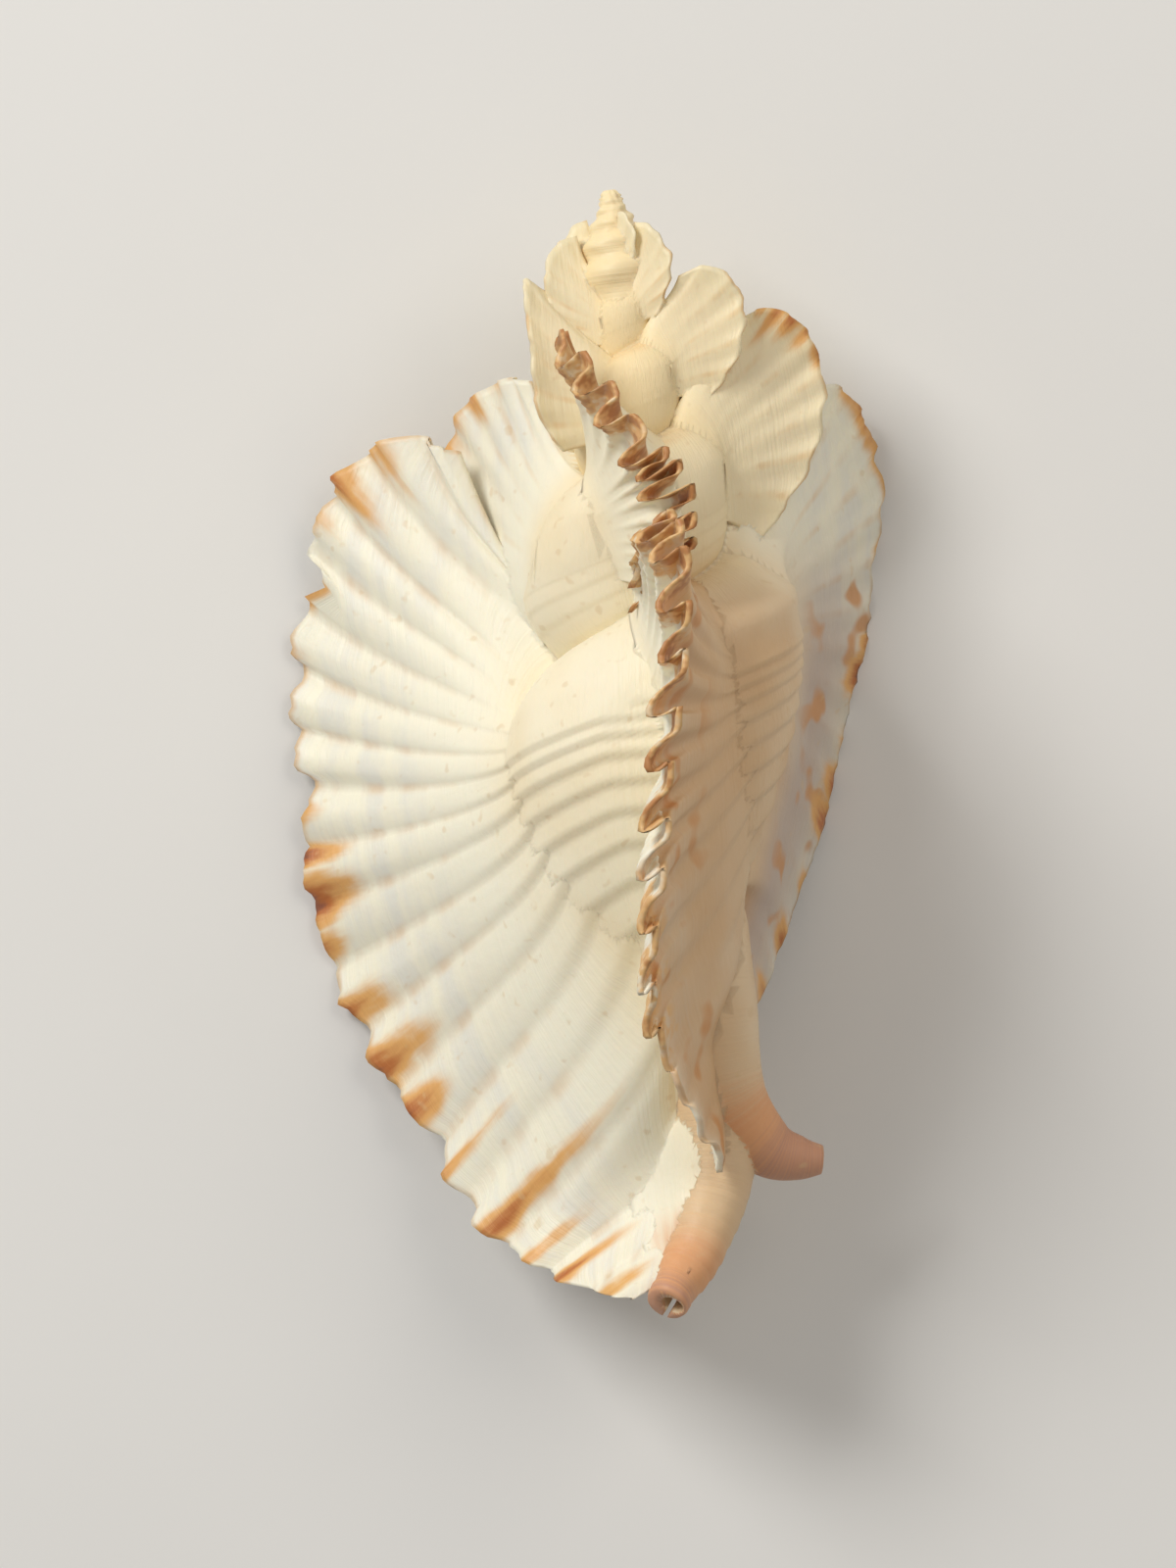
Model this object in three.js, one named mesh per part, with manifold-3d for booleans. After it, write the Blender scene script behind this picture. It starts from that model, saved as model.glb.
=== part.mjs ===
// Bednall's murex: a three-winged sea snail shell, one grown piece. It lies with the
// opening down on the margins of its two side wings, and the third wing stands up.
// Millimetres, +Z up, the apex towards +Y, origin under the middle of the shell.

import * as THREE from "three";
import { mergeVertices } from "three/addons/utils/BufferGeometryUtils.js";
import Module from "manifold-3d";

const wasm = await Module();
wasm.setup();

// The coil grows by one factor each turn. Turn 0 is the lip and -1 is one whorl earlier.
// Angles go round the axis with growth: 0 is to the right and 90 straight up.
const growthPerTurn = 1.6;
const lipAngle = 203;

// Outline of the whorl at the lip: [out from the axis, down from the apex].
const shoulder = [
  [5.0, 34.0],
  [8.8, 35.2],
  [11.2, 38.0],
  [12.3, 41.8],
];
const flank = [
  [12.3, 41.8],
  [12.2, 47.0],
  [11.0, 52.0],
  [8.8, 57.0],
  [6.3, 62.0],
  [4.4, 67.0],
];
const cordCount = 9;
const cordStep = 0.42;
const cordEdge = 0.74;
const canalSide = [2.6, 72];
const innerWall = [
  [0.4, 72],
  [0.4, 58],
  [0.4, 44],
];
const spireFlank = [
  [12.3, 47.0],
  [11.0, 53.0],
  [8.0, 58.0],
  [0.4, 58.0],
];

const sectionMiddle = [4.4, 46];

// Knobs on the shoulder, halfway between two varices.
const knobHeight = 1.5;
const knobBelowApex = 41.5;
const knobReach = 4.5;
const knobHalfAngle = 22;
const varixSpacing = 118;

// The hollow behind the opening, at the lip: [out, down], with its half width and height.
const hollow = { out: 7.2, down: 46.6, halfWidth: 3.3, halfHeight: 8.6, turns: 0.8, past: 0.06 };
const hollowSides = 12;
const slitWidth = 0.7;
const slitDepth = 6;

// How the shell lies: turned about X, then moved so that the worn margins meet the floor.
const restPitch = 0.15;
const restRoll = 0.25;
const restCentre = [-4.84, -40.14, -12.32];

// Each wing runs between a margin and a root, lists of [out, down, angle] for a lip of
// turn 0, the upper end first and the root a little inside the whorl.
const lipMargin = [
  [14.2, 17.2, 201],
  [18.6, 15.6, 201],
  [23.8, 18.4, 202],
  [26.8, 23.0, 203],
  [29.0, 29.0, 204],
  [29.4, 34.8, 203],
  [28.6, 40.6, 202],
  [29.3, 46.4, 202],
  [29.0, 52.6, 204],
  [26.5, 58.6, 203],
  [22.8, 64.6, 200],
  [19.4, 70.4, 194],
  [15.3, 74.8, 183],
  [11.8, 77.2, 168],
  [9.3, 78.6, 137],
];
const lipRoot = [
  [9.2, 30.6, 200],
  [10.0, 33.2, 197],
  [11.0, 35.8, 194],
  [11.3, 37.6, 192],
  [11.5, 39.2, 190],
  [11.6, 41.0, 188],
  [11.7, 42.6, 186],
  [11.6, 44.4, 185],
  [11.2, 47.2, 184],
  [10.2, 50.4, 184],
  [8.4, 54.2, 184],
  [5.8, 58.8, 184],
  [3.0, 64.8, 184],
  [1.6, 71.4, 130],
  [4.6, 76.6, 122],
];
const fullMargin = [
  [18.6, 22.6, 8],
  [22.6, 20.8, 4],
  [26.2, 23.6, 1],
  [27.9, 28.8, 0],
  [27.8, 34.8, 0],
  [26.6, 40.8, 0],
  [26.4, 46.4, 0],
  [24.4, 52.2, 0],
  [22.6, 58.2, 0],
  [20.4, 64.2, 0],
  [17.0, 70.0, 0],
  [13.8, 75.4, 0],
  [10.2, 79.6, 0],
  [5.2, 82.6, 0],
];
const fullRoot = [
  [7.8, 33.4, 4],
  [9.6, 36.0, 2],
  [10.8, 38.4, 0],
  [11.2, 40.0, -2],
  [11.6, 41.8, -4],
  [11.6, 43.6, -5],
  [11.4, 45.6, -6],
  [11.0, 47.8, -7],
  [10.0, 50.8, -7],
  [8.4, 54.4, -7],
  [6.2, 59.2, -6],
  [3.8, 65.4, -4],
  [2.2, 72.0, 0],
  [1.2, 78.8, 0],
];
const standingMargin = [
  [15.0, 33.6, 8],
  [18.8, 30.4, 4],
  [23.0, 28.8, 0],
  [26.4, 30.6, -2],
  [27.4, 34.8, -2],
  [26.8, 40.8, 0],
  [25.8, 46.4, 3],
  [24.0, 52.2, 6],
  [22.2, 58.2, 9],
  [20.0, 64.2, 13],
  [16.6, 69.6, 16],
  [13.6, 74.0, 14],
  [10.6, 78.0, 9],
  [6.6, 82.0, 0],
];
const bandMargin = [
  [13.5, 18.4, 6],
  [20.0, 20.0, -2],
  [25.0, 27.2, -18],
  [28.0, 35.4, -28],
  [28.5, 39.6, -34],
  [26.4, 45.6, -36],
  [22.4, 50.4, -34],
  [17.6, 54.0, -28],
];
const flapMargin = [
  [12.0, 20.2, -14],
  [15.0, 19.4, -9],
  [19.2, 20.4, -5],
  [23.0, 22.6, -2],
  [26.4, 27.4, 0],
  [28.0, 34.4, 0],
  [26.6, 42.4, 0],
  [18.6, 53.0, 0],
];
const spireMargin = [
  [16.6, 22.4, 14],
  [21.6, 20.6, 8],
  [26.4, 23.4, 3],
  [28.8, 28.4, 0],
  [29.2, 34.4, 0],
  [27.6, 40.4, 0],
  [23.6, 46.4, 0],
  [18.6, 51.0, 0],
];
const spireRoot = [
  [8.4, 34.4, 10],
  [9.4, 36.0, 6],
  [10.2, 38.0, 2],
  [10.8, 40.2, 0],
  [11.0, 42.4, -2],
  [10.8, 44.6, -3],
  [10.4, 47.0, -4],
  [9.6, 49.6, -4],
];
const lipWing = { margin: lipMargin, root: lipRoot, ribs: 19, rows: 5, thin: 0.75, thick: 2.4, behind: 6 };
const fullWing = { margin: fullMargin, root: fullRoot, ribs: 17, rows: 4, thin: 0.85, thick: 2.8, behind: 5 };
const spireWing = { margin: spireMargin, root: spireRoot, ribs: 8, rows: 2, thin: 1.2, thick: 3.6, behind: 6 };
const tipWing = { margin: spireMargin, root: spireRoot, ribs: 5, rows: 2, thin: 1.6, thick: 4.4, behind: 5 };

// Where each wing stands: its turn and angle, the depth of its flutes, how wide it blends
// into the whorl behind and ahead of it, and how it twists with the distance down.
const wings = [
  { ...lipWing, turn: 0, angle: 0, flute: 0.45 },
  { ...fullWing, margin: standingMargin, turn: -0.33, angle: 89, flute: 1.4, ahead: 1 },
  { ...fullWing, turn: -0.655, angle: -33, flute: 0.4, twist: -0.65, twistFrom: 24, ahead: 6 },
  { ...spireWing, margin: flapMargin, turn: -0.96, angle: 214, flute: 0.3, ribs: 6, behind: 9 },
  { ...spireWing, margin: bandMargin, turn: -1.28, angle: 118, flute: 1.6, ribs: 6, ahead: 1 },
  { ...spireWing, turn: -1.6, angle: -6, flute: 0.4, ahead: 6 },
  { ...spireWing, turn: -1.9, angle: 238, flute: 0.5, ribs: 5, ahead: 6 },
  { ...spireWing, turn: -2.21, angle: 136, flute: 0.5, ribs: 5, ahead: 6 },
  { ...spireWing, turn: -2.52, angle: 17, flute: 0.5, ribs: 5, ahead: 6 },
  { ...tipWing, turn: -2.83, angle: 266, flute: 0.6, ahead: 5 },
  { ...tipWing, turn: -3.14, angle: 156, flute: 0.6, ahead: 5 },
  { ...tipWing, turn: -3.45, angle: 44, flute: 0.6, ahead: 5 },
  { ...tipWing, turn: -4.07, angle: 178, flute: 0.6, ribs: 3 },
  { ...tipWing, turn: -4.38, angle: 66, flute: 0.6, ribs: 3 },
];
const crenulation = 0.4;

// How fast a wing leaves its root and its blend into the whorl fades, and the depths
// between which that blend narrows for the thin canal.
const flarePower = 2.5;
const blendPower = 2.4;
const narrowFrom = 56;
const narrowTo = 68;
const narrowShare = 0.3;
const leastRadius = 4;

// Tubes as [right, down, up, radius]: the bent end of the canal, and two ends of it that
// were left behind at the two earlier varices.
const canalTube = [
  [0.6, 50, -1.0, 2.4],
  [0.2, 58, -0.4, 3.7],
  [0, 66.0, 0.3, 3.3],
  [-0.6, 71.2, 1.2, 2.7],
  [-2.4, 75.6, 3.4, 2.1],
  [-5.0, 79.2, 6.4, 1.35],
];
const boreTube = [
  [2.0, 52, -4.0, 1.4],
  [0.6, 60, -1.2, 1.1],
  [0, 66.0, 0.2, 0.9],
  [-0.5, 71.2, 1.2, 0.85],
  [-2.0, 75.6, 3.4, 0.85],
  [-5.4, 80.4, 7.7, 0.85],
];
const upperSpur = [
  [0.2, 58, 1.5, 3.6],
  [0.9, 65.5, 1.0, 3.0],
  [3.6, 69.6, 0.3, 2.0],
  [7.0, 70.7, -0.2, 1.3],
];
const lowerSpur = [
  [0.2, 52, -0.8, 3.2],
  [0.2, 57, -1.6, 2.6],
  [-0.6, 59.6, -3.6, 1.7],
  [-1.6, 60.6, -6.0, 1.1],
];

// The solid middle from the canal up to the blunt first whorls: [radius, down].
const core = [
  [0, 66],
  [1.6, 66],
  [1.6, 30],
  [3.2, 23],
  [2.2, 11],
  [2.6, 5.4],
  [2.0, 3.4],
  [1.1, 1.4],
  [0.6, 0.1],
  [0, 0.1],
];

const weldDistance = 1e-3;
const rad = THREE.MathUtils.degToRad;
const lerp = THREE.MathUtils.lerp;
const smoothstep = THREE.MathUtils.smoothstep;
const scaleAt = (turn) => growthPerTurn ** turn;

function coilPoint(out, down, angle) {
  return new THREE.Vector3(out * Math.cos(rad(angle)), -down, out * Math.sin(rad(angle)));
}

function growthDirection(angle) {
  return new THREE.Vector3(-Math.sin(rad(angle)), 0, Math.cos(rad(angle)));
}

function toSolid(geometry) {
  geometry.deleteAttribute("normal");
  geometry.deleteAttribute("uv");
  const merged = mergeVertices(geometry, weldDistance);
  const mesh = new wasm.Mesh({
    numProp: 3,
    vertProperties: merged.attributes.position.array,
    triVerts: new Uint32Array(merged.index.array),
  });
  return new wasm.Manifold(mesh);
}

// Moves every vertex of a geometry by a rule on its old place.
function reshape(geometry, rule) {
  const place = geometry.attributes.position;
  const old = new THREE.Vector3();
  for (let i = 0; i < place.count; i += 1) {
    old.fromBufferAttribute(place, i);
    const moved = rule(old);
    place.setXYZ(i, moved.x, moved.y, moved.z);
  }
  return geometry;
}

// A closed tube. The rule gets the side on the ring, the step along from 0 to 1, and
// whether the vertex is the middle of an end.
function sweep(sides, steps, pointAt) {
  const barrel = new THREE.CylinderGeometry(1, 1, 1, sides, steps);
  return toSolid(
    reshape(barrel, (p) => {
      const round = Math.atan2(p.x, p.z) / (2 * Math.PI);
      const side = (Math.round(round * sides) + sides) % sides;
      return pointAt(side, 0.5 - p.y, Math.hypot(p.x, p.z) < 0.5);
    }),
  );
}

function knobRelief(turn, down) {
  const sinceVarix = (-360 * turn) % varixSpacing;
  const away = (sinceVarix - varixSpacing / 2) / knobHalfAngle;
  const below = (down - knobBelowApex) / knobReach;
  return knobHeight * Math.exp(-away * away - below * below);
}

// The section of the last whorl, with cords stepped like clapboards.
function lastSection() {
  const side = new THREE.CatmullRomCurve3(flank.map(([out, down]) => new THREE.Vector3(out, down, 0)));
  const section = [...shoulder];
  for (let cord = 0; cord < cordCount; cord += 1) {
    const edge = side.getPointAt((cord + cordEdge) / cordCount);
    const groove = side.getPointAt((cord + 1) / cordCount);
    section.push([edge.x + cordStep, edge.y], [groove.x - cordStep / 2, groove.y]);
  }
  section.push(canalSide, ...innerWall);
  return section;
}

function whorl(fromTurn, toTurn, steps, section) {
  return sweep(section.length, steps, (side, along, isMiddle) => {
    const turn = lerp(fromTurn, toTurn, along);
    const size = scaleAt(turn);
    const [out, down] = isMiddle ? sectionMiddle : section[side];
    const swell = out > 8 ? knobRelief(turn, down) : 0;
    return coilPoint((out + swell) * size, down * size, lipAngle + 360 * turn);
  });
}

function tube(stations, sides, steps) {
  const line = new THREE.CatmullRomCurve3(stations.map(([x, down, z]) => new THREE.Vector3(x, -down, z)));
  return sweep(sides, steps, (side, along, isMiddle) => {
    const place = along * (stations.length - 1);
    const first = Math.min(Math.floor(place), stations.length - 2);
    const radius = isMiddle ? 0 : lerp(stations[first][3], stations[first + 1][3], place - first);
    const axis = line.getTangent(along);
    const across = new THREE.Vector3(0, 0, 1).cross(axis).normalize();
    const other = new THREE.Vector3().crossVectors(axis, across);
    const turn = (-2 * Math.PI * side) / sides;
    return line
      .getPoint(along)
      .addScaledVector(across, radius * Math.cos(turn))
      .addScaledVector(other, radius * Math.sin(turn));
  });
}

// A wing: a fluted sheet that flares from its root and gets thin at its margin. Near the
// root its two faces spread along the whorl, so that it grows out of it smoothly.
function wing(shape) {
  const { turn, angle, margin, root, ribs, rows, flute, thin, thick, behind } = shape;
  const { twist = 0, twistFrom = 0, ahead = 0 } = shape;
  const toVector = ([out, down, round]) => new THREE.Vector3(out, down, round);
  const outer = new THREE.CatmullRomCurve3(margin.map(toVector));
  const inner = new THREE.CatmullRomCurve3(root.map(toVector));
  const size = scaleAt(turn);
  const slab = new THREE.BoxGeometry(1, 1, 1, ribs * 2, rows, 1);
  return toSolid(
    reshape(slab, (p) => {
      const along = p.x + 0.5;
      const reach = p.y + 0.5;
      const m = outer.getPoint(along);
      const r = inner.getPoint(along);
      const wave = Math.cos(2 * Math.PI * ribs * along);
      const flare = 1 - (1 - reach) ** flarePower;
      const turned = angle + reach * twist * Math.max(0, m.y * size - twistFrom);
      const narrow = lerp(1, narrowShare, smoothstep(r.y, narrowFrom, narrowTo));
      const spread = (p.z > 0 ? ahead : -behind) * narrow * (1 - reach) ** blendPower;
      const shift = THREE.MathUtils.radToDeg(spread / Math.max(r.x, leastRadius));
      const out = lerp(r.x, m.x, reach) + crenulation * wave * reach;
      const round = lerp(r.z, m.z, flare) + turned + shift;
      const down = lerp(r.y, m.y, reach) * growthPerTurn ** (shift / 360);
      const place = coilPoint(out * size, down * size, round);
      const offset = lerp(thick, thin, Math.sqrt(reach)) * p.z + flute * wave * reach * reach;
      return place.addScaledVector(growthDirection(round), offset * size);
    }),
  );
}

const spireSection = [...shoulder, ...spireFlank, [0.4, 44]];
let solid = whorl(-1.04, 0, 20, lastSection())
  .add(whorl(-2.05, -0.97, 14, spireSection))
  .add(whorl(-3.05, -1.96, 11, spireSection))
  .add(whorl(-4.4, -2.96, 10, spireSection));

const columella = new THREE.LatheGeometry(
  core.map(([radius, down]) => new THREE.Vector2(radius, -down)),
  10,
);
solid = solid.add(toSolid(columella));
solid = solid.add(tube(canalTube, 12, 8)).add(tube(upperSpur, 9, 6)).add(tube(lowerSpur, 8, 5));
for (const one of wings) {
  solid = solid.add(wing(one));
}

// The hollow follows the coil inwards, and the canal runs from it to the bent end.
const hollowTube = sweep(hollowSides, 12, (side, along, isMiddle) => {
  const turn = lerp(-hollow.turns, hollow.past, along);
  const size = scaleAt(turn);
  const around = (2 * Math.PI * side) / hollowSides;
  const out = hollow.out - (isMiddle ? 0 : hollow.halfWidth * Math.cos(around));
  const down = hollow.down - (isMiddle ? 0 : hollow.halfHeight * Math.sin(around));
  return coilPoint(out * size, down * size, lipAngle + 360 * turn);
});

const slitLine = new THREE.CatmullRomCurve3(boreTube.map(([x, down, z]) => new THREE.Vector3(x, -down, z)));
const slitSlab = new THREE.BoxGeometry(slitWidth, 1, 1, 1, 1, 10);
const slit = toSolid(
  reshape(slitSlab, (p) => {
    const along = lerp(1.08, 0.02, p.z + 0.5);
    const at = slitLine.getPoint(Math.min(along, 1));
    const axis = slitLine.getTangent(Math.min(along, 1));
    const across = new THREE.Vector3(0, 0, 1).cross(axis).normalize();
    const under = new THREE.Vector3().crossVectors(across, axis);
    at.addScaledVector(axis, Math.max(0, along - 1) * 20);
    return at.addScaledVector(across, p.x).addScaledVector(under, (p.y + 0.5) * slitDepth);
  }),
);
solid = solid.subtract(hollowTube).subtract(tube(boreTube, 7, 8)).subtract(slit);

const posed = new THREE.Matrix4()
  .makeTranslation(-restCentre[0], -restCentre[1], -restCentre[2])
  .multiply(new THREE.Matrix4().makeRotationFromEuler(new THREE.Euler(rad(restPitch), rad(restRoll), 0)));
solid = solid.transform(posed.elements);
const room = new THREE.BoxGeometry(200, 200, 200).translate(0, 0, 100);
solid = solid.intersect(toSolid(room));

const out = solid.getMesh();
const geometry = new THREE.BufferGeometry();
geometry.setAttribute("position", new THREE.BufferAttribute(new Float32Array(out.vertProperties), 3));
geometry.setIndex(new THREE.BufferAttribute(out.triVerts, 1));
const shell = new THREE.Mesh(geometry, new THREE.MeshStandardMaterial({ color: 0xf3e6c8, roughness: 0.6 }));
shell.name = "shell";
const part = new THREE.Group();
part.add(shell);
export default part;
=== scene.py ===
# Bednall's murex: a three-winged sea snail shell, lying on the margins of its two side
# wings with its opening down and its third wing standing up.
import math

import bmesh
import bpy
from mathutils import Matrix, Vector, noise


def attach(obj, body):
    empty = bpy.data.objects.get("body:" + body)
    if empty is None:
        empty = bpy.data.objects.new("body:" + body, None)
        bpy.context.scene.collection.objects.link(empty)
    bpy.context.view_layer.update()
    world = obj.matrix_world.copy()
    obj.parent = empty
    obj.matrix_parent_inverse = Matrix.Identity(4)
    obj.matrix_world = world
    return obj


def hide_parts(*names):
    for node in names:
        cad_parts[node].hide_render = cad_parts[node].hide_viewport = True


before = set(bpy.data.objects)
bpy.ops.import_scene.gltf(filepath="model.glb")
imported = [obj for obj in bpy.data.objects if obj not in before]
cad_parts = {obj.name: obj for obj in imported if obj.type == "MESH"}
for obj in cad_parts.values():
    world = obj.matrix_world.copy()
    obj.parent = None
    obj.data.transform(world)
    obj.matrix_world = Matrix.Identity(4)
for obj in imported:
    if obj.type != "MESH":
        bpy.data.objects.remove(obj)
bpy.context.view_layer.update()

# The coil, in millimetres. A turn of 0 is the lip and -1 is one whorl earlier. Angles go
# round the coil's axis with growth: 0 is to the right and 90 straight up. GROWTH_LENGTH is
# how much shell grows in a turn, for the growth lines.
MM = 0.001
GROWTH_PER_TURN = 1.6
LIP_ANGLE = 203
GROWTH_LENGTH = 75
# A whorl's section at a turn of 0, as (out, down) from the tip.
SHOULDER = [(5.0, 34.0), (8.8, 35.2), (11.2, 38.0), (12.3, 41.8)]
FLANK = [(12.3, 41.8), (12.2, 47.0), (11.0, 52.0), (8.8, 57.0), (6.3, 62.0), (4.4, 67.0)]
CANAL_SIDE = [(2.6, 72)]
INNER_WALL = [(0.4, 72), (0.4, 58), (0.4, 44)]
SPIRE_FLANK = [(12.3, 47.0), (11.0, 53.0), (8.0, 58.0)]
SPIRE_WALL = [(0.4, 58.0), (0.4, 44)]
SECTION_MIDDLE = (4.4, 46)
# The pillar that the whorls wind round, as (out, down). Only its knobbly end shows.
CORE = [
    (0, 66), (1.6, 66), (1.6, 30), (3.2, 23), (2.2, 11), (2.6, 5.4), (2.0, 3.4), (1.0, 1.4),
    (0.4, 0.1), (0, 0.1),
]
CORE_SIDES = 40
CORE_STEPS = 90
TIP_LENGTH = 9
TIP_COILING = 0.1
TIP_COIL_START = 0.55
TIP_ROUGHNESS = 0.16
# The whorls: (from turn, to turn, steps, how strong their cords are).
LAST_WHORL = (-1.04, 0, 116, 1)
FIRST_SPIRE_WHORL = (-2.05, -0.97, 80, 0.35)
SECOND_SPIRE_WHORL = (-3.05, -1.96, 60, 0)
THIRD_SPIRE_WHORL = (-4.4, -2.96, 50, 0)

# The cords follow the coil, except on top of the last whorl, where they lie level. They
# rise and die away between these distances down.
CORDS_START = (35.6, 46.6)
CORDS_END = (62, 69)
CORD_RELIEF = 0.42
CORD_RISE = 0.75
LEVEL_FROM = -0.24
LEVEL_TO = -0.33
UNEVENNESS = 0.1

KNOB_HEIGHT = 1.05
KNOB_BELOW_APEX = 41.5
KNOB_REACH = 4.5
KNOB_HALF_ANGLE = 32
VARIX_SPACING = 118
# A ridge runs along the shoulder between the standing wing and the right wing: (down, half
# its height, how far out), and the turns over which it ends and starts.
SHOULDER_RIDGE = (38.6, 1.3, 1.0)
RIDGE_ENDS = (-0.34, -0.42)
RIDGE_STARTS = (-0.66, -0.58)
# The older whorl swells beside the flap: (turn, half its width in turns, down, half its
# height, how far out).
SWELLING = (-1.08, 0.1, 48.5, 6.5, 3.4)

# The painted shade's ends round the coil, in degrees, and where it starts below the tip.
SHADE_ENDS = (88, 72)
SHADE_STARTS = (-100, -45)
SHADE_TOP = (24, 34)

# The pose it lies in, and where the floor's middle is under it.
REST_PITCH = 0.15
REST_ROLL = 0.25
REST_CENTRE = (-4.84, -40.14, -12.32)

# A wing's margin and root: (out, down, angle) for a lip of turn 0, upper end first.
LIP_MARGIN = [
    (14.2, 17.2, 201), (18.6, 15.6, 201), (23.8, 18.4, 202), (26.8, 23.0, 203), (29.0, 29.0, 204),
    (29.4, 34.8, 203), (28.6, 40.6, 202), (29.3, 46.4, 202), (29.0, 52.6, 204), (26.5, 58.6, 203),
    (22.8, 64.6, 200), (19.4, 70.4, 194), (15.3, 74.8, 183), (11.8, 77.2, 168), (9.3, 78.6, 137),
]
LIP_ROOT = [
    (9.2, 30.6, 200), (10.0, 33.2, 197), (11.0, 35.8, 194), (11.3, 37.6, 192), (11.5, 39.2, 190),
    (11.6, 41.0, 188), (11.7, 42.6, 186), (11.6, 44.4, 185), (11.2, 47.2, 184), (10.2, 50.4, 184),
    (8.4, 54.2, 184), (5.8, 58.8, 184), (3.0, 64.8, 184), (1.6, 71.4, 130), (4.6, 76.6, 122),
]
FULL_MARGIN = [
    (18.6, 22.6, 8), (22.6, 20.8, 4), (26.2, 23.6, 1), (27.9, 28.8, 0), (27.8, 34.8, 0),
    (26.6, 40.8, 0), (26.4, 46.4, 0), (24.4, 52.2, 0), (22.6, 58.2, 0), (20.4, 64.2, 0),
    (17.0, 70.0, 0), (13.8, 75.4, 0), (10.2, 79.6, 0), (5.2, 82.6, 0),
]
FULL_ROOT = [
    (7.8, 33.4, 4), (9.6, 36.0, 2), (10.8, 38.4, 0), (11.2, 40.0, -2), (11.6, 41.8, -4),
    (11.6, 43.6, -5), (11.4, 45.6, -6), (11.0, 47.8, -7), (10.0, 50.8, -7), (8.4, 54.4, -7),
    (6.2, 59.2, -6), (3.8, 65.4, -4), (2.2, 72.0, 0), (1.2, 78.8, 0),
]
MID_MARGIN = [
    (15.0, 33.6, 8), (18.8, 30.4, 4), (23.0, 28.8, 0), (26.4, 30.6, -2), (27.4, 34.8, -2),
    (26.8, 40.8, 0), (25.8, 46.4, 3), (24.0, 52.2, 6), (22.2, 58.2, 9), (20.0, 64.2, 13),
    (16.6, 69.6, 16), (13.6, 74.0, 14), (10.6, 78.0, 9), (6.6, 82.0, 0),
]
BAND_MARGIN = [
    (13.5, 18.4, 6), (20.0, 20.0, -2), (25.0, 27.2, -18), (28.0, 35.4, -28),
    (28.5, 39.6, -34), (26.4, 45.6, -36), (22.4, 50.4, -34), (17.6, 54.0, -28),
]
FLAP_MARGIN = [
    (12.0, 20.2, -14), (15.0, 19.4, -9), (19.2, 20.4, -5), (23.0, 22.6, -2),
    (26.4, 27.4, 0), (28.0, 34.4, 0), (26.6, 42.4, 0), (18.6, 53.0, 0),
]
SPIRE_MARGIN = [
    (16.6, 22.4, 14), (21.6, 20.6, 8), (26.4, 23.4, 3), (28.8, 28.4, 0), (29.2, 34.4, 0),
    (27.6, 40.4, 0), (23.6, 46.4, 0), (18.6, 51.0, 0),
]
LOBE_MARGIN = [
    (16.6, 22.4, 14), (21.6, 20.6, 8), (26.4, 23.4, 3), (28.8, 28.4, 0), (29.2, 34.4, 0),
    (27.4, 41.4, 0), (23.4, 48.4, 0), (16.6, 55.4, 0),
]
UPRIGHT_MARGIN = [
    (15.0, 19.5, 10), (20.6, 16.2, 6), (21.4, 22.0, 3), (21.8, 28.0, 0), (22.2, 34.4, 0),
    (22.0, 40.4, 0), (20.4, 46.4, 0), (17.4, 51.0, 0),
]
TIP_MARGIN = [
    (13.0, 13.5, 10), (18.5, 15.0, 6), (22.5, 19.0, 3), (25.0, 24.0, 0), (26.0, 30.0, 0),
    (24.5, 36.0, 0), (21.0, 42.0, 0), (17.0, 48.0, 0),
]
SPIRE_ROOT = [
    (8.4, 34.4, 10), (9.4, 36.0, 6), (10.2, 38.0, 2), (10.8, 40.2, 0), (11.0, 42.4, -2),
    (10.8, 44.6, -3), (10.4, 47.0, -4), (9.6, 49.6, -4),
]
# Brown streaks that start at a margin and fade inwards: (place on the margin, counted in
# its points, length, half width, strength).
LIP_STREAKS = [
    (1.3, 3.0, 0.16, 0.5), (1.9, 3.6, 0.2, 0.6), (2.5, 2.5, 0.15, 0.3), (3.55, 1.0, 0.12, 0.5),
    (4.2, 3.0, 0.14, 0.3), (6.2, 2.0, 0.16, 0.35), (6.75, 4.0, 0.13, 0.85), (7.3, 4.4, 0.2, 1.0),
    (7.85, 2.6, 0.14, 0.6), (8.65, 4.4, 0.16, 0.7), (9.35, 5.2, 0.2, 0.75), (9.95, 3.4, 0.15, 0.85),
    (10.7, 6.4, 0.08, 0.6), (11.6, 9.0, 0.09, 0.8), (12.2, 6.0, 0.08, 0.6),
    (12.8, 5.5, 0.1, 0.8), (13.5, 4.0, 0.1, 0.6),
]
RIGHT_STREAKS = [
    (2.2, 1.2, 0.7, 0.6), (3.2, 0.8, 0.3, 0.4), (4.4, 0.8, 0.3, 0.4), (6.0, 1.6, 0.2, 0.7),
    (6.5, 2.4, 0.3, 1.0), (7.6, 1.4, 0.2, 0.4), (8.3, 2.4, 0.2, 0.8), (8.9, 2.6, 0.24, 0.9),
    (9.9, 1.2, 0.2, 0.4), (10.9, 2.4, 0.22, 0.7), (12.0, 2.4, 0.2, 0.6), (13.0, 3.0, 0.4, 0.7),
]
FLAP_STREAKS = [
    (1.6, 0.8, 0.3, 0.3), (2.4, 1.4, 0.3, 0.6), (3.1, 1.2, 0.25, 0.4), (3.9, 1.4, 0.3, 0.6),
]
LOBE_STREAKS = [
    (0.9, 1.0, 0.2, 0.5), (1.3, 2.2, 0.2, 0.7), (1.8, 1.6, 0.2, 0.8), (2.3, 2.0, 0.2, 0.6),
    (3.0, 1.0, 0.3, 0.5),
]
STREAK_LENGTH = 1.3
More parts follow.
